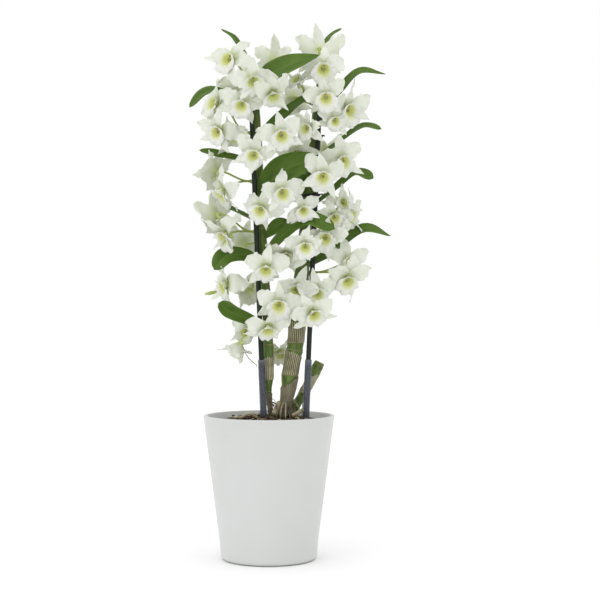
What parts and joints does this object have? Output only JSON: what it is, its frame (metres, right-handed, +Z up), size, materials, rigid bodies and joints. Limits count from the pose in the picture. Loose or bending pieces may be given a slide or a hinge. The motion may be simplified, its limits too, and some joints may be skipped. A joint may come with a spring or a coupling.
{
  "type": "potted orchid",
  "caption": "Potted orchid: flowering canes tied to stakes, with strap leaves, in a bark-filled grow pot inside a white conical cover pot.",
  "frame": {"origin": "middle of the cover pot's underside, where it stands", "axes": "+Z up along the pot's axis, -Y the front of the plant, +X to the right seen from the front"},
  "size_m": [0.2095, 0.1348, 0.5505],
  "materials": {
    "white_clay": "satin",
    "black_plastic": "satin",
    "bark": "matte",
    "stake_green": "satin",
    "clear_sleeve": "gloss",
    "cane_green": "satin",
    "old_cane": "matte",
    "root": "matte",
    "leaf": "satin",
    "petal": "matte"
  },
  "bodies": {
    "root": {"bark_mix": "bark", "cane_left": "cane_green", "cane_old": "old_cane", "cane_right": "cane_green", "clip_left_lower": "black_plastic", "clip_left_upper": "black_plastic", "clip_right_lower": "black_plastic", "clip_right_upper": "black_plastic", "cover_pot": "white_clay", "grow_pot": "black_plastic", "leaf_01": "leaf", "leaf_02": "leaf", "leaf_03": "leaf", "leaf_04": "leaf", "leaf_05": "leaf", "leaf_06": "leaf", "leaf_07": "leaf", "leaf_08": "leaf", "leaf_09": "leaf", "leaf_10": "leaf", "leaf_11": "leaf", "leaf_12": "leaf", "leaf_13": "leaf", "leaf_14": "leaf", "leaf_15": "leaf", "leaf_16": "leaf", "leaf_17": "leaf", "root_green": "root", "root_pale": "root", "root_stub": "root", "spray_l01": "petal", "spray_l02": "petal", "spray_l03": "petal", "spray_l04": "petal", "spray_l05": "petal", "spray_l06": "petal", "spray_l07": "petal", "spray_l08": "petal", "spray_l09": "petal", "spray_l10": "petal", "spray_l11": "petal", "spray_l12": "petal", "spray_l13": "petal", "spray_l14": "petal", "spray_r01": "petal", "spray_r02": "petal", "spray_r03": "petal", "spray_r04": "petal", "spray_r05": "petal", "spray_r06": "petal", "spray_r07": "petal", "spray_r08": "petal", "spray_r09": "petal", "spray_r10": "petal", "spray_r11": "petal", "spray_r12": "petal", "stake_left": "stake_green", "stake_right": "stake_green", "stake_sleeve_left": "clear_sleeve", "stake_sleeve_right": "clear_sleeve"}
  },
  "joints": []
}
